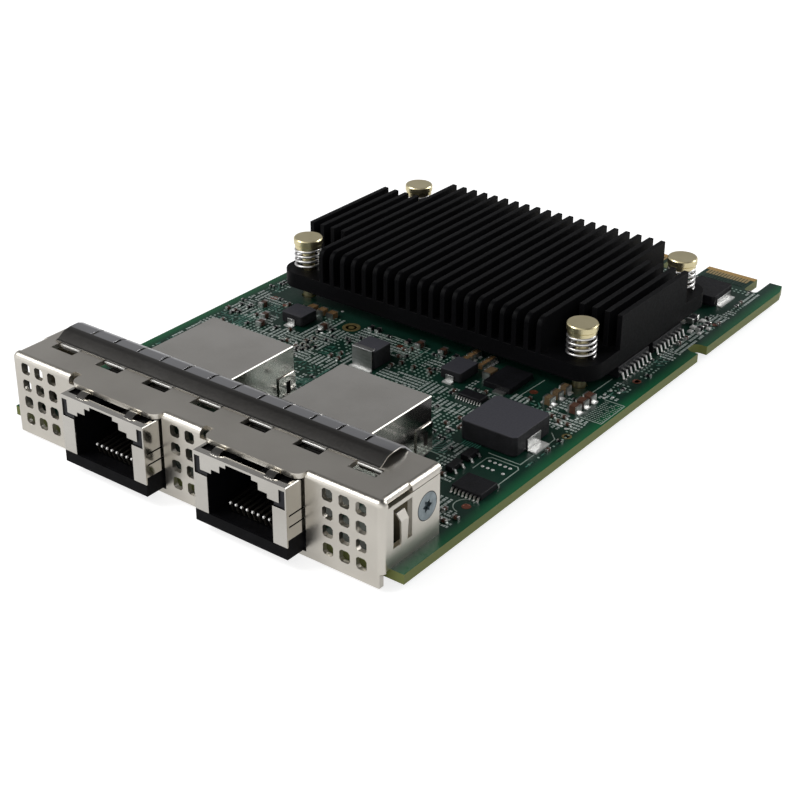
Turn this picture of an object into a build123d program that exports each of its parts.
from build123d import *

import os
from math import cos, pi, sin

# Two-port network adapter card, in millimetres. It is drawn in the card's own frame: X = 0 on the
# card's centre line, Y = 0 on the faceplate's front, Z = 0 on the top of the circuit board.

# Circuit board
BOARD_HALF = 38.0
BOARD_THICKNESS = 1.57
BOARD_FRONT = 1.65
EDGE_REAR = 116.65
LEFT = -BOARD_HALF
RIGHT = BOARD_HALF
EDGE_BEVEL = (0.9, 0.35)
LOCK_NOTCH_MIDDLE = EDGE_REAR - 32.05
LOCK_NOTCH_SIZE = (2.5, 3.2)
WING_WIDTH = 3.2
WING_CHAMFER = (0.8, 2.6)
PLATED_HOLES = ((RIGHT - 3.2, 20.4), (RIGHT - 14.3, 54.8), (-14.0, 55.4))
PLATED_HOLE_RADIUS = 0.55

# Edge contacts: the number on each tab from left to right, and the gaps between the tabs
TAB_COUNTS = (28, 14, 28, 14)
TAB_GAPS = (1.7, 1.7, 7.3)
TAB_LEFT = LEFT + 3.6
TAB_LENGTH = 5.65
TAB_MARGIN = 0.7
TAB_ROUND = 0.7
PAD_PITCH = 0.6
PAD_WIDTH = 0.4
PAD_THICKNESS = 0.06
PAD_LENGTH = 3.6
PAD_REAR = EDGE_REAR - 1.2

# Faceplate
FACE_HALF = 35.75
FACE_SHEET = 0.8
FACE_BEND = 1.0
FACE_TOP = 10.81
FACE_BOTTOM = -2.57
TOP_REAR = 13.0
SIDE_REAR = 12.6
RETURN_DEPTH = 0.95
RETURN_TOP = -0.7
LOWER_STRIP_TOP = -0.35
LOWER_STRIP_INSET = 0.6
SIDE_SEAM = 9.5
SIDE_SEAM_GAP = 0.12
SIDE_SEAM_DEPTH = 0.3
HEM = (1.2, 6.5)
HEM_INSET = 0.4
VENT_PITCH = 2.86
VENT_SIZE = (1.8, 1.9)
VENT_CORNER = 0.35
VENT_ROWS = 4
VENT_MIDDLE = 4.45
VENT_COLUMN_COUNTS = (3, 2, 3)
VENT_GROUP_MIDDLES = (5.95 - FACE_HALF, 0.0, FACE_HALF - 6.45)
TOP_SLOT_PITCH = 9.7
TOP_SLOT_COUNT = 7
TOP_SLOT_MIDDLE = -0.62
TOP_SLOT_WIDTH = 4.75
TOP_SLOT = (4.75, 6.85)
TONGUE_FRONT = -1.15
TONGUE_CORNER = 1.5
TONGUE_MARGIN = 0.35
TONGUE_ROOT = 2.0
BEND_RELIEF = 1.5
BEND_RELIEF_BOTTOM = 9.4
PORT_CUT_DROP = 0.25
SIDE_SLOT = (2.3, 6.4)
SIDE_SLOT_HEIGHT = (2.8, 8.85)
FINGER_WIDTHS = (1.2, 1.75)
FINGER_SHEET = 0.3
FINGER_SECTION = ((0.0, 2.2), (0.3, 3.2), (0.35, 6.5), (-0.4, 7.6))

# Faceplate screws, one each side, and the threaded blocks that hold them
SCREW_PLACE = (9.81, 5.73)
SCREW_HEAD_RADIUS = 2.2
SCREW_RADIUS = 1.2
SCREW_LENGTH = 4.6
SCREW_CLEARANCE = 0.1
SOCKET_RADIUS = 1.05
SOCKET_DEPTH = 0.7
BLOCK_DEPTH = 5.0
BLOCK_LENGTH = (7.3, 12.3)
BLOCK_TOP = 8.2

# Gasket strip: its section as (y, z) from the foot over the crest to the tip behind the top's edge
GASKET_SHEET = 0.2
GASKET_MIDDLE = FACE_TOP + GASKET_SHEET / 2
GASKET_SECTION = (
    (6.7, GASKET_MIDDLE),
    (7.2, GASKET_MIDDLE),
    (8.6, 11.8),
    (9.8, 12.0),
    (11.4, 12.02),
    (12.4, 11.65),
    (14.1, 10.05),
)
GASKET_RIGHT = 29.95
GASKET_FINGERS = 13
GASKET_PITCH = TOP_SLOT_PITCH / 2
GASKET_SLIT = 0.45
GASKET_SLIT_FRONT = 9.9
HOOK_WIDTH = 4.0
HOOK_SHEET = 0.1
HOOK_LEVEL = FACE_TOP - FACE_SHEET - 0.07
HOOK_SECTION = ((6.75, GASKET_MIDDLE), (6.75, HOOK_LEVEL), (8.2, HOOK_LEVEL))

# Network ports
PORT_CENTRES = {"left_port": -12.7, "right_port": 13.8}
PORT_HALF = 8.45
PORT_FRONT = -3.45
PORT_REAR = 29.1
PORT_TOP = 9.85
PORT_SHEET = 0.25
PORT_BEND = 0.15
PORT_BASE = -1.5
PORT_SILL = 0.4
PORT_GAP = 0.05
PORT_STEPS = ((5.95, 7.1), (5.1, 7.8), (3.5, 8.9), (2.35, 9.5))
SHIELD_SIDE_BOTTOM = 1.5
SHIELD_REAR_BOTTOM = 0.8
SIDE_FINGER_SLOTS = (3.5, 5.25)
SIDE_FINGER_REAR = 0.2
SHIELD_LAP = (25.2, 5.6)
LAP_WINDOW = ((26.9, 27.9), (2.3, 4.5))
CAVITY_REAR = 8.3
INSERT_REAR = 10.0
WINDOW_POST = 7.15
WINDOW_HEIGHT = (6.3, 9.2)
WINDOW_SILL_TOP = 7.1
WINDOW_DEPTH = 1.8
ROOF_SPRING_OFFSET = 4.9
ROOF_SPRING_WIDTH = 1.5
ROOF_SPRING_SECTION = ((-2.9, 9.8), (-1.95, 10.3), (-1.45, 10.3), (-1.3, 9.8), (-0.3, 9.75))
ROOF_SLOT_REAR = -0.2
CONTACT_COUNT = 8
CONTACT_PITCH = 1.02
CONTACT_WIDTH = 0.4
CONTACT_SHEET = 0.3
CONTACT_SECTION = ((-0.85, PORT_SILL + 0.16), (-1.4, 2.05), (5.6, 2.65), (7.6, 4.4))
SHIELD_LEG_PLACES = (3.6, 26.0)

# Solder joints under the ports, where their legs come through the board
JOINT_RADIUS = 0.55
JOINT_TAPER = 16
JOINT_LENGTH = 0.9
JOINT_SIDES = 6
JOINT_ROWS = ((20.0, 6, 2.03), (22.54, 5, 2.03))
JOINT_SHIELD = (7.9, 13.4)

# Heat sink and its push pins
SINK_CENTRE = (-0.15, (PORT_REAR + EDGE_REAR) / 2 + 4.825)
SINK_BASE = (64.6, 40.0)
SINK_BASE_HEIGHT = (2.5, 5.3)
SINK_CORNER = 3.6
FIN_COUNT = 28
SHORT_FINS = 4
SHORT_FIN_HALF = 11.0
FIN_THICKNESS = 0.9
FIN_PITCH = (SINK_BASE[0] - FIN_THICKNESS) / (FIN_COUNT - 1)
FIN_TOP = 11.4
FIN_ROUND = 1.5
FIN_ROUND_STEPS = 4
PIN_OFFSET = (28.25, 16.35)
PIN_TOP = 11.2
PIN_HEAD = 0.9
PIN_HEAD_RADIUS = 2.55
PIN_COLLAR = 1.0
PIN_COLLAR_RADIUS = 1.6
PIN_SHANK_RADIUS = 1.1
PIN_SIDES = 12
PIN_HOLE_RADIUS = 1.35
BARB_RADIUS = 1.65
BARB_LENGTH = 1.3
BARB_TAPER = 30
SPRING_RADIUS = 2.05
SPRING_WIRE = 0.42
SPRING_TURNS = 4.5
SPRING_SIDES = 10

# Network controller under the heat sink
CHIP_HALF = 12.5
CHIP_SUBSTRATE = (0.4, 1.3)
CHIP_LID_HALF = 10.5
CHIP_LID_TOP = 2.1
BALL_GRID_HALF = 11.7

# Lines that the small parts are laid out from: the right-hand port's side, the middle of the strip
# between it and the board's edge, the heat sink's front and rear, and the middles before and behind
PORT_SIDE = PORT_CENTRES["right_port"] + PORT_HALF
STRIP_MIDDLE = (PORT_SIDE + RIGHT) / 2
SINK_FRONT = SINK_CENTRE[1] - SINK_BASE[1] / 2
SINK_BACK = SINK_CENTRE[1] + SINK_BASE[1] / 2
FIELD_MIDDLE = (PORT_REAR + SINK_FRONT) / 2
REAR_MIDDLE = (SINK_BACK + EDGE_REAR - TAB_LENGTH) / 2

# Moulded blocks with a metal terminal at each end: x limits, y limits, height
POWER_INDUCTOR = (
    (STRIP_MIDDLE - 7.225, STRIP_MIDDLE + 2.875), (FIELD_MIDDLE - 8.0, FIELD_MIDDLE + 1.9), 3.42
)
POWER_INDUCTOR_FOOT = (3.6, 1.3)
SMALL_BLOCKS = (
    ((-5.4, -0.9), (SINK_FRONT - 12.7, SINK_FRONT - 8.1), 3.36),
    ((8.9, 13.0), (SINK_FRONT - 8.0, SINK_FRONT - 2.8), 1.87),
    ((-25.1, -20.5), (SINK_FRONT - 7.8, SINK_FRONT - 3.6), 2.0),
)
SMALL_BLOCK_FOOT = (1.6, 0.5)
REAR_CAPACITOR = ((RIGHT - 13.0, RIGHT - 6.4), (REAR_MIDDLE - 3.75, REAR_MIDDLE + 3.55), 2.0)
REAR_CAPACITOR_FOOT = (5.1, 0.4)
TERMINAL_TUCK = 1.0
BLOCK_CORNER = 0.06
TERMINAL_SHEET = 0.2
TERMINAL_RISE = 0.6

# Power chip with a tab, and the chips with leads along two sides
POWER_CHIP = ((16.1, 21.2), (SINK_FRONT - 6.1, SINK_FRONT + 0.8), 1.0)
POWER_TAB = ((18.5, 20.6), (SINK_FRONT - 7.1, SINK_FRONT - 5.1), 0.25)
REGULATOR = ((15.2, 19.5), (SINK_FRONT - 11.8, SINK_FRONT - 9.6), 0.9)
REGULATOR_LEADS = (10, 0.5, 0.22, 0.6)
DRIVER_CHIP = ((STRIP_MIDDLE + 0.475, STRIP_MIDDLE + 5.575), (22.7, 26.9), 1.1)
DRIVER_LEADS = (8, 0.65, 0.28, 0.75)
MAGNETIC_CHIP = (7.5, 9.9, 2.1)
MAGNETIC_CHIP_X = RIGHT - 9.7
MAGNETIC_CHIPS_Y = (SINK_CENTRE[1] - 5.85, SINK_CENTRE[1] + 5.4)
MAGNETIC_LEADS = (8, 1.27, 0.45, 1.3)
TRANSISTORS = (
    ((STRIP_MIDDLE - 3.325, STRIP_MIDDLE - 2.125), (FIELD_MIDDLE - 17.0, FIELD_MIDDLE - 14.2)),
    ((STRIP_MIDDLE - 3.425, STRIP_MIDDLE - 2.025), (FIELD_MIDDLE - 13.0, FIELD_MIDDLE - 10.2)),
)
TRANSISTOR_TOP = 1.0
TRANSISTOR_LEADS = (0.95, 0.4, 0.65)
LEAD_SHEET = 0.15
LEAD_SHOULDER = 0.35
LEAD_FOOT = 0.6
STAND_OFF = 0.1
CHIP_BEVEL = 0.12

# Rows of small two-ended parts: first centre, step, count; then the part's size along x, y and z
END_CAP = 0.3
BROWN_ROWS = (
    ((STRIP_MIDDLE - 2.425, SINK_FRONT - 4.65), (0.0, 2.35), 3, (1.6, 1.3, 1.3)),
    ((STRIP_MIDDLE + 2.175, SINK_FRONT - 4.5), (0.0, 2.2), 3, (1.7, 1.5, 1.3)),
    ((15.2, SINK_FRONT - 2.7), (0.0, 3.1), 1, (1.4, 2.7, 1.2)),
    ((LEFT + 13.5, SINK_FRONT - 23.2), (0.0, 3.0), 3, (1.5, 1.8, 1.2)),
)
TAN_ROWS = (
    ((9.3, SINK_FRONT - 1.1), (0.0, 1.45), 3, (1.5, 1.0, 1.0)),
    ((12.45, SINK_FRONT - 1.2), (0.0, 1.05), 4, (1.4, 0.8, 0.8)),
    ((-23.5, SINK_FRONT - 1.2), (2.2, 0.0), 3, (1.3, 1.9, 1.0)),
)
RESISTOR_ROWS = (
    ((-7.6, PORT_REAR + 3.4), (1.4, 0.0), 7, (0.6, 1.1, 0.4)),
    ((-16.0, FIELD_MIDDLE - 1.4), (0.0, 1.5), 5, (1.1, 0.6, 0.4)),
    ((PORT_SIDE + 2.55, 20.5), (0.0, 1.6), 4, (1.1, 0.6, 0.4)),
    ((LEFT + 16.0, REAR_MIDDLE - 1.3), (3.3, 0.0), 10, (0.6, 1.1, 0.4)),
)


def span(limits):
    """Return the middle and the length of a pair of limits."""
    return (limits[0] + limits[1]) / 2, limits[1] - limits[0]


def block(x, y, z):
    """Return a box between two limits on each axis."""
    (mid_x, long_x), (mid_y, long_y), (mid_z, long_z) = span(x), span(y), span(z)
    return Pos(mid_x, mid_y, mid_z) * Box(long_x, long_y, long_z)


def sheet_rectangle(x, y):
    """Return a flat rectangle between two limits on each axis."""
    (mid_x, long_x), (mid_y, long_y) = span(x), span(y)
    return Pos(mid_x, mid_y) * Rectangle(long_x, long_y)


def rod(x, y, z, radius):
    """Return an upright cylinder between two heights."""
    mid_z, long_z = span(z)
    return Pos(x, y, mid_z) * Cylinder(radius, long_z)


def bent_strip(points, thickness, width):
    """Return a strip across X whose middle line runs through the (y, z) points."""
    path = Polyline(*[(0, y, z) for y, z in points])
    start = Plane(origin=path @ 0, x_dir=(1, 0, 0), z_dir=path % 0)
    return sweep(start * Rectangle(width, thickness), path=path, transition=Transition.RIGHT)


def mirrored_in_x(shape):
    """Return a shape with its copy on the other side of the card's centre line."""
    return [shape, mirror(shape, Plane.YZ)]


def tab_limits():
    """Return the left and right edge of each contact tab."""
    limits = []
    left = TAB_LEFT
    for count, gap in zip(TAB_COUNTS, TAB_GAPS + (0,)):
        right = left + 2 * TAB_MARGIN + PAD_PITCH * count
        limits.append((left, right))
        left = right + gap
    return limits


def pin_places():
    """Return the centres of the four push pins."""
    x, y = SINK_CENTRE
    across, along = PIN_OFFSET
    return [(x + side * across, y + end * along) for side in (-1, 1) for end in (-1, 1)]


def circuit_board():
    """The board, with its contact tabs, keys, side slots, lock notch and holes."""
    beyond = EDGE_REAR + 1
    tab_root = EDGE_REAR - TAB_LENGTH
    outline = sheet_rectangle((LEFT, RIGHT), (BOARD_FRONT, EDGE_REAR))
    tabs = tab_limits()
    gaps = [(left_tab[1], right_tab[0]) for left_tab, right_tab in zip(tabs, tabs[1:])]
    gaps.append((tabs[-1][1], RIGHT - WING_WIDTH))
    for gap in gaps:
        slot = sheet_rectangle(gap, (tab_root, beyond))
        outline -= fillet(slot.vertices().group_by(Axis.Y)[0], TAB_ROUND)
    outline -= sheet_rectangle((LEFT - 1, TAB_LEFT), (tab_root, beyond))
    notch_depth, notch_length = LOCK_NOTCH_SIZE
    notch = Pos(RIGHT, LOCK_NOTCH_MIDDLE) * Rectangle(2 * notch_depth, notch_length)
    outline -= fillet(notch.vertices().group_by(Axis.X)[0], 0.45 * notch_length)
    chamfer_x, chamfer_y = WING_CHAMFER
    outline -= make_face(
        Polyline(
            (RIGHT, EDGE_REAR - chamfer_y),
            (RIGHT + 1, EDGE_REAR - chamfer_y),
            (RIGHT + 1, beyond),
            (RIGHT - chamfer_x, beyond),
            (RIGHT - chamfer_x, EDGE_REAR),
            close=True,
        )
    )
    board = extrude(outline, -BOARD_THICKNESS)
    depth, rise = EDGE_BEVEL
    bevel = make_face(
        Plane.YZ
        * Polyline(
            (EDGE_REAR - depth, 0), (beyond, rise), (beyond, -rise), (EDGE_REAR, -rise), close=True
        )
    )
    top_bevel = Pos(LEFT, 0, 0) * extrude(bevel, RIGHT - WING_WIDTH - LEFT)
    bottom_bevel = mirror(top_bevel, Plane.XY.offset(-BOARD_THICKNESS / 2))
    board = board - top_bevel - bottom_bevel
    through = (-BOARD_THICKNESS - 1, 1)
    board -= [rod(x, y, through, PLATED_HOLE_RADIUS) for x, y in PLATED_HOLES]
    board -= [rod(x, y, through, PIN_HOLE_RADIUS) for x, y in pin_places()]
    return board


def edge_contacts(face_height):
    """One face's row of gold contacts on the four tabs, standing on the height given."""
    pads = []
    for count, (left, _) in zip(TAB_COUNTS, tab_limits()):
        for index in range(count):
            x = left + TAB_MARGIN + PAD_PITCH * (index + 0.5)
            pad = Box(PAD_WIDTH, PAD_LENGTH, PAD_THICKNESS)
            pads.append(Pos(x, PAD_REAR - PAD_LENGTH / 2, face_height) * pad)
    return pads


def folded_box():
    """The faceplate's folded sheet: front wall, top and two sides, before anything is cut."""
    outside = block((-FACE_HALF, FACE_HALF), (0, TOP_REAR), (FACE_BOTTOM, FACE_TOP))
    inner_half = FACE_HALF - FACE_SHEET
    inside = block(
        (-inner_half, inner_half), (FACE_SHEET, TOP_REAR + 1), (FACE_BOTTOM - 1, FACE_TOP - FACE_SHEET)
    )

    def bent_edges(shape):
        front = shape.edges().filter_by(lambda edge: edge.center().Y < FACE_SHEET + 0.01)
        front_bends = front.filter_by(Axis.Z) + front.filter_by(Axis.X).sort_by(Axis.Z)[-1:]
        return front_bends + shape.edges().filter_by(Axis.Y).group_by(Axis.Z)[-1]

    outside = fillet(bent_edges(outside), FACE_BEND)
    inside = fillet(bent_edges(inside), FACE_BEND - FACE_SHEET)
    return outside - inside


def side_finger():
    """The sprung finger that stands out of the right side wall's slot, narrower at its root."""
    outer = [(FACE_HALF + out, z) for out, z in FINGER_SECTION]
    inner = [(x - FINGER_SHEET, z) for x, z in reversed(outer)]
    middle = span(SIDE_SLOT)[0]
    profile = Plane.XZ.offset(-middle) * make_face(Polyline(*outer, *inner, close=True))
    root, tip = FINGER_SECTION[0][1], FINGER_SECTION[-1][1]
    root_half, tip_half = FINGER_WIDTHS[0] / 2, FINGER_WIDTHS[1] / 2
    outline = Polyline(
        (middle - root_half, root), (middle + root_half, root), (middle + tip_half, tip),
        (middle - tip_half, tip), close=True
    )
    band = extrude(Plane.YZ.offset(FACE_HALF) * make_face(outline), 1, both=True)
    return extrude(profile, tip_half, both=True) & band


def rolled_hem():
    """The right-hand front stretch of the top's rolled edge, set in from the side wall."""
    radius = FACE_SHEET
    middle, length = span(HEM)
    hem = Rot(90, 0, 0) * Cylinder(radius, length)
    hem = Pos(FACE_HALF - HEM_INSET - radius, middle, FACE_TOP - radius) * hem
    low = FACE_TOP - radius
    return hem & block((0, FACE_HALF), HEM, (low, FACE_TOP))


def countersink(grow=0.0):
    """The right-hand screw's conical head, grown all round for its seat."""
    y, z = SCREW_PLACE
    head_height = SCREW_HEAD_RADIUS - SCREW_RADIUS
    cone = Cone(SCREW_RADIUS + grow, SCREW_HEAD_RADIUS + grow, head_height)
    return Pos(FACE_HALF - head_height / 2, y, z) * Rot(0, 90, 0) * cone


def side_screw_hole():
    """The hole for the right-hand screw's shank, through side wall and block."""
    y, z = SCREW_PLACE
    depth = SCREW_LENGTH + SCREW_CLEARANCE
    bore = Cylinder(SCREW_RADIUS + SCREW_CLEARANCE, depth)
    return Pos(FACE_HALF - depth / 2, y, z) * Rot(0, 90, 0) * bore


def faceplate():
    """The folded faceplate with vents, port openings, tongues, gasket slots and side fingers."""
    plate = folded_box()
    beyond = TOP_REAR + 1
    inner_half = FACE_HALF - FACE_SHEET
    top_inside = FACE_TOP - FACE_SHEET
    wide = (-FACE_HALF - 1, FACE_HALF + 1)
    cuts = [
        block(wide, (FACE_SHEET, beyond), (RETURN_TOP, 0)),
        block(wide, (RETURN_DEPTH, beyond), (FACE_BOTTOM - 1, RETURN_TOP + 0.1)),
    ]
    for x in mirrored_in_x(block((inner_half, FACE_HALF + 1), (SIDE_REAR, beyond), (-1, top_inside))):
        cuts.append(x)
    low_end = block(
        (FACE_HALF - LOWER_STRIP_INSET, FACE_HALF + 1), (-1, beyond), (FACE_BOTTOM - 1, LOWER_STRIP_TOP)
    )
    cuts += mirrored_in_x(low_end)
    seam = block(
        (FACE_HALF - SIDE_SEAM_DEPTH, FACE_HALF + 1), (HEM[1], beyond), (SIDE_SEAM, SIDE_SEAM + SIDE_SEAM_GAP)
    )
    cuts += mirrored_in_x(seam)
    hem_room = block((inner_half - HEM_INSET, FACE_HALF + 1), HEM, (SIDE_SEAM, FACE_TOP + 1))
    cuts += mirrored_in_x(hem_room)
    cuts += mirrored_in_x(block((inner_half - 0.2, FACE_HALF + 1), SIDE_SLOT, SIDE_SLOT_HEIGHT))
    cuts += mirrored_in_x(countersink())
    for centre in PORT_CENTRES.values():
        half = PORT_HALF + TONGUE_MARGIN
        cuts.append(
            block(
                (centre - half, centre + half), (-1, FACE_BEND), (PORT_BASE - PORT_CUT_DROP, FACE_TOP)
            )
        )
        relief = (centre - half - BEND_RELIEF, centre + half)
        cuts.append(block(relief, (-1, FACE_BEND + 0.4), (BEND_RELIEF_BOTTOM, FACE_TOP + 1)))
    cuts += vents()
    slot_y, slot_length = span(TOP_SLOT)
    for index in range(TOP_SLOT_COUNT):
        x = TOP_SLOT_MIDDLE + TOP_SLOT_PITCH * (index - (TOP_SLOT_COUNT - 1) / 2)
        slot = Pos(x, slot_y, FACE_TOP) * Box(TOP_SLOT_WIDTH, slot_length, 3 * FACE_SHEET)
        cuts.append(slot)
    plate -= cuts
    for centre in PORT_CENTRES.values():
        half = PORT_HALF + TONGUE_MARGIN
        tongue = sheet_rectangle((centre - half, centre + half), (TONGUE_FRONT, TONGUE_ROOT))
        tongue = fillet(tongue.vertices().group_by(Axis.Y)[0], TONGUE_CORNER)
        plate += Pos(0, 0, top_inside) * extrude(tongue, FACE_SHEET)
    for added in mirrored_in_x(side_finger()) + mirrored_in_x(rolled_hem()):
        plate += added
    return plate


def vents():
    """The three groups of square vents with eased corners in the front wall."""
    hole = Rectangle(*VENT_SIZE)
    hole = chamfer(hole.vertices(), VENT_CORNER)
    cutter = extrude(Plane.XZ.offset(1) * hole, -2 - FACE_SHEET)
    cutters = []
    for middle, columns in zip(VENT_GROUP_MIDDLES, VENT_COLUMN_COUNTS):
        for column in range(columns):
            x = middle + VENT_PITCH * (column - (columns - 1) / 2)
            for row in range(VENT_ROWS):
                z = VENT_MIDDLE + VENT_PITCH * (row - (VENT_ROWS - 1) / 2)
                cutters.append(Pos(x, 0, z) * cutter)
    return cutters


def faceplate_screw():
    """The right-hand countersunk screw, with a six-pointed socket in its head."""
    y, z = SCREW_PLACE
    shank = Cylinder(SCREW_RADIUS, SCREW_LENGTH)
    screw = countersink() + Pos(FACE_HALF - SCREW_LENGTH / 2, y, z) * Rot(0, 90, 0) * shank
    triangle = RegularPolygon(SOCKET_RADIUS, 3)
    socket = triangle + Rot(0, 0, 60) * triangle
    face = Plane.YZ.offset(FACE_HALF) * Pos(y, z) * socket
    return screw - extrude(face, -SOCKET_DEPTH)


def faceplate_block():
    """The right-hand threaded block that stands on the board behind the side wall."""
    outer = FACE_HALF - FACE_SHEET
    body = block((outer - BLOCK_DEPTH, outer), BLOCK_LENGTH, (0, BLOCK_TOP))
    body = chamfer(body.edges().filter_by(Axis.Z), 0.4)
    return body - countersink() - side_screw_hole()


def gasket_strip():
    """The sprung gasket: a sheet arched over the faceplate's top, slit into fingers, with hooks."""
    width = GASKET_FINGERS * GASKET_PITCH
    middle = GASKET_RIGHT - width / 2
    strip = Pos(middle, 0, 0) * bent_strip(GASKET_SECTION, GASKET_SHEET, width)
    for index in range(1, GASKET_FINGERS):
        x = GASKET_RIGHT - GASKET_PITCH * index
        strip -= block((x - GASKET_SLIT / 2, x + GASKET_SLIT / 2), (GASKET_SLIT_FRONT, 16), (8, 14))
    hook = bent_strip(HOOK_SECTION, HOOK_SHEET, HOOK_WIDTH)
    for index in range(TOP_SLOT_COUNT):
        x = TOP_SLOT_MIDDLE + TOP_SLOT_PITCH * (index - (TOP_SLOT_COUNT - 1) / 2)
        strip += Pos(x, 0, 0) * hook
    return strip


def port_opening(depth, front):
    """The stepped plug opening with its latch channel, cut back from a front plane."""
    steps = []
    for half, top in PORT_STEPS:
        steps.append(block((-half, half), (front, front + depth), (PORT_SILL, top)))
    return steps


def indicator_window(grow=0.0):
    """The right-hand L-shaped window beside the plug opening, grown all round for its pocket."""
    low, high = WINDOW_HEIGHT
    front = PORT_FRONT + PORT_SHEET - 0.5 * grow
    back = PORT_FRONT + PORT_SHEET + WINDOW_DEPTH + grow
    outer = PORT_HALF - PORT_SHEET - PORT_GAP + grow
    inner_sill = PORT_STEPS[0][0] + 0.15 - grow
    post = block((WINDOW_POST + 0.05 - grow, outer), (front, back), (low + 0.05 - grow, high + grow))
    sill = block((inner_sill, outer), (front, back), (low + 0.05 - grow, WINDOW_SILL_TOP + grow))
    return post + sill


def port_shield():
    """A port's folded metal shield, open below, with its stepped front and roof springs."""
    half, sheet = PORT_HALF, PORT_SHEET
    outside = block((-half, half), (PORT_FRONT, PORT_REAR), (PORT_SILL, PORT_TOP))
    outside = chamfer(outside.edges().filter_by(Axis.Y).group_by(Axis.Z)[-1], PORT_BEND)
    inside = block(
        (sheet - half, half - sheet),
        (PORT_FRONT + sheet, PORT_REAR - sheet),
        (PORT_SILL - 1, PORT_TOP - sheet),
    )
    shell = outside - inside
    beyond = half + 1
    wall = (half - sheet - 0.05, beyond)
    cuts = [block((-half, half), (PORT_FRONT + sheet, BOARD_FRONT + 0.5), (0, SHIELD_SIDE_BOTTOM))]
    cuts += [block((-beyond, beyond), (BOARD_FRONT, PORT_REAR + 1), (0, SHIELD_REAR_BOTTOM))]
    cuts += port_opening(2 * sheet, PORT_FRONT - sheet / 2)
    low, high = WINDOW_HEIGHT
    window = block((WINDOW_POST, half - sheet), (PORT_FRONT - 1, PORT_FRONT + sheet), (low, high))
    window += block(
        (PORT_STEPS[0][0] - 0.1, half - sheet), (PORT_FRONT - 1, PORT_FRONT + sheet), (low, WINDOW_SILL_TOP)
    )
    cuts += mirrored_in_x(window)
    for height in SIDE_FINGER_SLOTS:
        slot = block(wall, (PORT_FRONT + 0.5, SIDE_FINGER_REAR), (height - 0.12, height + 0.12))
        cuts += mirrored_in_x(slot)
    spring_edge = ROOF_SPRING_OFFSET - ROOF_SPRING_WIDTH / 2 - 0.1
    cuts.append(block((-spring_edge, spring_edge), (-2.2, ROOF_SLOT_REAR), (9.3, 11)))
    outer_edge = ROOF_SPRING_OFFSET + ROOF_SPRING_WIDTH / 2 + 0.1
    cuts += mirrored_in_x(block((outer_edge, half - 0.6), (-2.4, ROOF_SLOT_REAR), (9.3, 11)))
    cuts += mirrored_in_x(block((spring_edge, outer_edge), (-2.7, ROOF_SLOT_REAR), (9.3, 11)))
    lap_front, lap_top = SHIELD_LAP
    lap = block((half, half + sheet), (lap_front, PORT_REAR), (SHIELD_REAR_BOTTOM, lap_top))
    shell += mirrored_in_x(lap)
    lap_window_y, lap_window_z = LAP_WINDOW
    cuts += mirrored_in_x(block(wall, lap_window_y, lap_window_z))
    shell -= cuts
    spring = bent_strip(ROOF_SPRING_SECTION, 0.2, ROOF_SPRING_WIDTH)
    shell += mirrored_in_x(Pos(ROOF_SPRING_OFFSET, 0, 0) * spring)
    for y in SHIELD_LEG_PLACES:
        leg = block((half - sheet, half), (y - 0.6, y + 0.6), (0, SHIELD_SIDE_BOTTOM))
        shell += mirrored_in_x(leg)
    return shell


def port_housing():
    """A port's plastic insert, with the plug cavity, latch channel and front sill."""
    inner = PORT_HALF - PORT_SHEET - PORT_GAP
    front = PORT_FRONT + PORT_SHEET + PORT_GAP
    top = PORT_TOP - PORT_SHEET - PORT_GAP
    body = block((-inner, inner), (front, INSERT_REAR), (0, top))
    body += block((-inner, inner), (front, BOARD_FRONT - 0.15), (PORT_BASE, SHIELD_SIDE_BOTTOM))
    body += block((-PORT_HALF, PORT_HALF), (PORT_FRONT, front), (PORT_BASE, PORT_SILL - PORT_GAP))
    lip_top = SHIELD_SIDE_BOTTOM - PORT_GAP
    for lip in mirrored_in_x(block((inner, PORT_HALF), (front, BOARD_FRONT - 0.15), (PORT_BASE, lip_top))):
        body += lip
    body -= port_opening(CAVITY_REAR - PORT_FRONT + 1, PORT_FRONT - 1)
    body -= mirrored_in_x(indicator_window(grow=PORT_GAP))
    notch_half = ROOF_SPRING_OFFSET + ROOF_SPRING_WIDTH / 2 + 0.1
    body -= block((-notch_half, notch_half), (front - 1, 0.0), (9.5, 10))
    comb = CONTACT_COUNT * CONTACT_PITCH / 2
    body -= block((-comb, comb), (-1.1, -0.6), (PORT_SILL - 0.3, PORT_SILL + 0.1))
    return body


def port_contacts():
    """The eight sprung contact wires of a port."""
    wire = bent_strip(CONTACT_SECTION, CONTACT_SHEET, CONTACT_WIDTH)
    middle = (CONTACT_COUNT - 1) / 2
    return [Pos(CONTACT_PITCH * (index - middle), 0, 0) * wire for index in range(CONTACT_COUNT)]


def port_transformers():
    """The potted transformer block that fills the rear of a port's shield."""
    inner = PORT_HALF - PORT_SHEET - PORT_GAP
    rear = PORT_REAR - PORT_SHEET - PORT_GAP
    top = PORT_TOP - PORT_SHEET - PORT_GAP
    return block((-inner, inner), (INSERT_REAR + PORT_GAP, rear), (0, top))


def port_solder_joints():
    """The soldered legs of a port under the board."""
    foot = Pos(0, 0, -BOARD_THICKNESS) * RegularPolygon(JOINT_RADIUS, JOINT_SIDES)
    cone = extrude(foot, -JOINT_LENGTH, taper=JOINT_TAPER)
    joints = []
    for y, count, pitch in JOINT_ROWS:
        joints += [Pos(pitch * (index - (count - 1) / 2), y, 0) * cone for index in range(count)]
    x, y = JOINT_SHIELD
    joints += mirrored_in_x(Pos(x, y, 0) * cone)
    return joints


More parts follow.
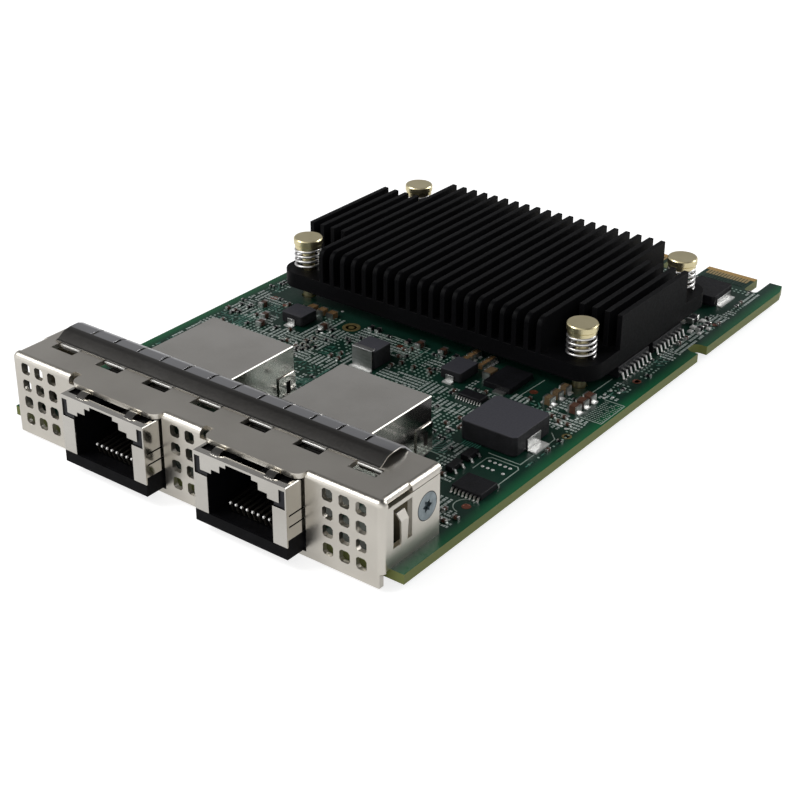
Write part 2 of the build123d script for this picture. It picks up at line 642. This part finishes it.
def heat_sink():
    """The finned heat sink, its middle fins full length and its outer ones short of the pins."""
    x, y = SINK_CENTRE
    length, depth = SINK_BASE
    low, high = SINK_BASE_HEIGHT
    base = Pos(0, 0, low) * extrude(RectangleRounded(length, depth, SINK_CORNER), high - low)
    half_fin = FIN_THICKNESS / 2
    side = [(depth / 2, FIN_TOP), (depth / 2, high), (-depth / 2, high)]
    for step in range(FIN_ROUND_STEPS + 1):
        angle = pi / 2 * step / FIN_ROUND_STEPS
        in_from_front, down = FIN_ROUND * (1 - cos(angle)), FIN_ROUND * (1 - sin(angle))
        side.append((-depth / 2 + in_from_front, FIN_TOP - down))
    full = extrude(Plane.YZ * make_face(Polyline(*side, close=True)), half_fin, both=True)
    short = block((-half_fin, half_fin), (-SHORT_FIN_HALF, SHORT_FIN_HALF), (high, FIN_TOP))
    fins = []
    for index in range(FIN_COUNT):
        is_short = min(index, FIN_COUNT - 1 - index) < SHORT_FINS
        place = Pos(FIN_PITCH * (index - (FIN_COUNT - 1) / 2), 0, 0)
        fins.append(place * (short if is_short else full))
    sink = Pos(x, y, 0) * (base + fins)
    return sink - [rod(px, py, (low - 1, high + 1), PIN_HOLE_RADIUS) for px, py in pin_places()]


def push_pin():
    """A push pin: flat head, collar, shank and a barb that holds under the board."""
    under_head = PIN_TOP - PIN_HEAD
    underside = -BOARD_THICKNESS
    head = rod(0, 0, (under_head, PIN_TOP), PIN_HEAD_RADIUS)
    collar = Pos(0, 0, under_head) * RegularPolygon(PIN_COLLAR_RADIUS, PIN_SIDES)
    shank = Pos(0, 0, underside) * RegularPolygon(PIN_SHANK_RADIUS, PIN_SIDES)
    barb = Pos(0, 0, underside) * RegularPolygon(BARB_RADIUS, PIN_SIDES)
    pin = head + extrude(collar, -PIN_COLLAR) + extrude(shank, under_head - underside)
    return pin + extrude(barb, -BARB_LENGTH, taper=BARB_TAPER)


def pin_spring():
    """A push pin's coil spring between the heat sink's base and the pin's head."""
    low = SINK_BASE_HEIGHT[1] + 0.6 * SPRING_WIRE
    high = PIN_TOP - PIN_HEAD - 0.6 * SPRING_WIRE
    steps = round(SPRING_TURNS * SPRING_SIDES)
    points = []
    for step in range(steps + 1):
        angle = 2 * pi * step / SPRING_SIDES
        rise = low + (high - low) * step / steps
        points.append((SPRING_RADIUS * cos(angle), SPRING_RADIUS * sin(angle), rise))
    path = Polyline(*points)
    start = Plane(origin=path @ 0, x_dir=(1, 0, 0), z_dir=path % 0)
    wire = Rectangle(SPRING_WIRE, SPRING_WIRE)
    return sweep(start * wire, path=path, transition=Transition.RIGHT)


def at_pins(shape):
    """Return a copy of a shape at each push pin."""
    return [Pos(x, y, 0) * shape for x, y in pin_places()]


def controller_chip():
    """The network controller: ball grid, substrate and lid under the heat sink."""
    x, y = SINK_CENTRE
    low, high = CHIP_SUBSTRATE
    grid = block((-BALL_GRID_HALF, BALL_GRID_HALF), (-BALL_GRID_HALF, BALL_GRID_HALF), (0, low))
    substrate = block((-CHIP_HALF, CHIP_HALF), (-CHIP_HALF, CHIP_HALF), (low, high))
    lid = block((-CHIP_LID_HALF, CHIP_LID_HALF), (-CHIP_LID_HALF, CHIP_LID_HALF), (high, CHIP_LID_TOP))
    lid = chamfer(lid.edges().group_by(Axis.Z)[-1], 0.2)
    return Pos(x, y, 0) * (grid + substrate + lid)


def thermal_pad():
    """The soft pad between the controller's lid and the heat sink."""
    x, y = SINK_CENTRE
    half = CHIP_LID_HALF - 1
    return Pos(x, y, 0) * block((-half, half), (-half, half), (CHIP_LID_TOP, SINK_BASE_HEIGHT[0]))


def moulded_block(x, y, height, foot_width, foot_reach, along_x=False):
    """A moulded body with a terminal bent down each of two opposite sides to a foot on the board."""
    sheet = TERMINAL_SHEET
    (mid_x, long_x), (mid_y, long_y) = span(x), span(y)
    length, depth = (long_y, long_x) if along_x else (long_x, long_y)
    body = block((-length / 2, length / 2), (-depth / 2, depth / 2), (sheet, height))
    body = chamfer(body.edges().filter_by(Axis.Z), BLOCK_CORNER * min(length, depth))
    foot_x = (-foot_width / 2, foot_width / 2)
    outer = depth / 2 + sheet
    foot = block(foot_x, (TERMINAL_TUCK - outer, -outer - foot_reach)[::-1], (0, sheet))
    terminal = foot + block(foot_x, (-outer, -depth / 2), (0, TERMINAL_RISE * height))
    turn = Pos(mid_x, mid_y, 0) * Rot(0, 0, 90 if along_x else 0)
    return turn * body, [turn * terminal, turn * mirror(terminal, Plane.XZ)]


def gull_wing(width, reach, height):
    """A bent lead that leaves a body's front side at y = 0 and ends in a foot on the board."""
    sheet = LEAD_SHEET
    section = (
        (0, height),
        (-LEAD_SHOULDER * reach, height),
        (-LEAD_FOOT * reach, sheet / 2),
        (-reach, sheet / 2),
    )
    return bent_strip(section, sheet, width)


def leaded_chip(x, y, height, leads):
    """A chip body and the two rows of bent leads along its front and rear."""
    count, pitch, width, reach = leads
    (mid_x, _), (mid_y, depth) = span(x), span(y)
    body = block(x, y, (STAND_OFF, height))
    body = chamfer(body.edges().group_by(Axis.Z)[-1], CHIP_BEVEL)
    lead = gull_wing(width, reach, height / 2)
    rows = []
    for index in range(count):
        across = pitch * (index - (count - 1) / 2)
        placed = Pos(across, -depth / 2, 0) * lead
        rows += [placed, mirror(placed, Plane.XZ)]
    return body, [Pos(mid_x, mid_y, 0) * row for row in rows]


def magnetic_chips():
    """The two wide line chips under the heat sink's right edge, with their leads along X."""
    width, length, height = MAGNETIC_CHIP
    bodies, leads = [], []
    for y in MAGNETIC_CHIPS_Y:
        across, along = (-length / 2, length / 2), (-width / 2, width / 2)
        body, rows = leaded_chip(across, along, height, MAGNETIC_LEADS)
        turn = Pos(MAGNETIC_CHIP_X, y, 0) * Rot(0, 0, 90)
        bodies.append(turn * body)
        leads += [turn * row for row in rows]
    return bodies, leads


def small_transistors():
    """Two three-legged transistors with their legs along X."""
    pitch, width, reach = TRANSISTOR_LEADS
    bodies, legs = [], []
    for x, y in TRANSISTORS:
        (mid_x, long_x), (mid_y, _) = span(x), span(y)
        bodies.append(block(x, y, (STAND_OFF, TRANSISTOR_TOP)))
        leg = Pos(0, -long_x / 2, 0) * gull_wing(width, reach, TRANSISTOR_TOP / 2)
        for turn, offset in ((90, -pitch), (90, pitch), (-90, 0)):
            legs.append(Pos(mid_x, mid_y + offset, 0) * Rot(0, 0, turn) * leg)
    return bodies, legs


def two_ended_rows(rows):
    """Rows of small ceramic parts, each a body between two metal end caps."""
    bodies, caps = [], []
    for (x, y), (step_x, step_y), count, (long_x, long_y, height) in rows:
        for index in range(count):
            place = Pos(x + step_x * index, y + step_y * index, height / 2)
            if long_x > long_y:
                bodies.append(place * Box(long_x - 2 * END_CAP, long_y, height))
                shift = (long_x - END_CAP) / 2
                caps += [place * Pos(side * shift, 0, 0) * Box(END_CAP, long_y, height) for side in (-1, 1)]
            else:
                bodies.append(place * Box(long_x, long_y - 2 * END_CAP, height))
                shift = (long_y - END_CAP) / 2
                caps += [place * Pos(0, side * shift, 0) * Box(long_x, END_CAP, height) for side in (-1, 1)]
    return bodies, caps


def port_nodes():
    """Every piece of both ports, by node name."""
    nodes = {}
    for port, centre in PORT_CENTRES.items():
        place = Pos(centre, 0, 0)
        nodes[port + "_shield"] = place * port_shield()
        nodes[port + "_housing"] = place * port_housing()
        nodes[port + "_contacts"] = [place * wire for wire in port_contacts()]
        nodes[port + "_windows"] = [place * window for window in mirrored_in_x(indicator_window())]
        nodes[port + "_transformers"] = place * port_transformers()
        nodes[port + "_solder_joints"] = [place * joint for joint in port_solder_joints()]
    return nodes


def board_part_nodes():
    """Every small part soldered to the board, by node name."""
    nodes = {}
    core, terminals = moulded_block(*POWER_INDUCTOR, *POWER_INDUCTOR_FOOT, along_x=True)
    nodes["power_inductor"] = core
    nodes["power_inductor_terminals"] = terminals
    blocks = [moulded_block(*small, *SMALL_BLOCK_FOOT) for small in SMALL_BLOCKS]
    nodes["small_inductors"] = [body for body, _ in blocks]
    nodes["small_inductor_terminals"] = [end for _, ends in blocks for end in ends]
    body, ends = moulded_block(*REAR_CAPACITOR, *REAR_CAPACITOR_FOOT, along_x=True)
    nodes["rear_capacitor"] = body
    nodes["rear_capacitor_terminals"] = ends
    chip_x, chip_y, chip_top = POWER_CHIP
    tab_x, tab_y, tab_top = POWER_TAB
    tab = block(tab_x, tab_y, (0, tab_top))
    nodes["power_chip"] = block(chip_x, chip_y, (0, chip_top)) - tab
    nodes["power_chip_tab"] = tab
    nodes["regulator_chip"], nodes["regulator_leads"] = leaded_chip(*REGULATOR, REGULATOR_LEADS)
    nodes["driver_chip"], nodes["driver_leads"] = leaded_chip(*DRIVER_CHIP, DRIVER_LEADS)
    nodes["line_chips"], nodes["line_chip_leads"] = magnetic_chips()
    nodes["small_transistors"], nodes["transistor_legs"] = small_transistors()
    nodes["brown_capacitors"], brown_ends = two_ended_rows(BROWN_ROWS)
    nodes["tan_capacitors"], tan_ends = two_ended_rows(TAN_ROWS)
    nodes["capacitor_ends"] = brown_ends + tan_ends
    nodes["resistors"], nodes["resistor_ends"] = two_ended_rows(RESISTOR_ROWS)
    return nodes


def all_nodes():
    """Every node of the card in its own frame."""
    top_pads = PAD_THICKNESS / 2
    nodes = {
        "circuit_board": circuit_board(),
        "edge_contacts_top": edge_contacts(top_pads),
        "edge_contacts_bottom": edge_contacts(-BOARD_THICKNESS - top_pads),
        "faceplate": faceplate(),
        "faceplate_screws": mirrored_in_x(faceplate_screw()),
        "faceplate_blocks": mirrored_in_x(faceplate_block()),
        "gasket_strip": gasket_strip(),
        "heat_sink": heat_sink(),
        "push_pins": at_pins(push_pin()),
        "pin_springs": at_pins(pin_spring()),
        "controller_chip": controller_chip(),
        "thermal_pad": thermal_pad(),
    }
    nodes.update(port_nodes())
    nodes.update(board_part_nodes())
    return nodes


# The part's origin is the middle of its length and width, on the plane that it rests on
PART_ORIGIN = Pos(0, -(PORT_FRONT + EDGE_REAR) / 2, BOARD_THICKNESS + BARB_LENGTH)

os.makedirs("parts", exist_ok=True)
for name, shape in all_nodes().items():
    shapes = shape if isinstance(shape, list) else [shape]
    pieces = [PART_ORIGIN * solid for piece in shapes for solid in piece.solids()]
    node = pieces[0] if len(pieces) == 1 else Compound(pieces)
    export_step(node, "parts/" + name + ".step")
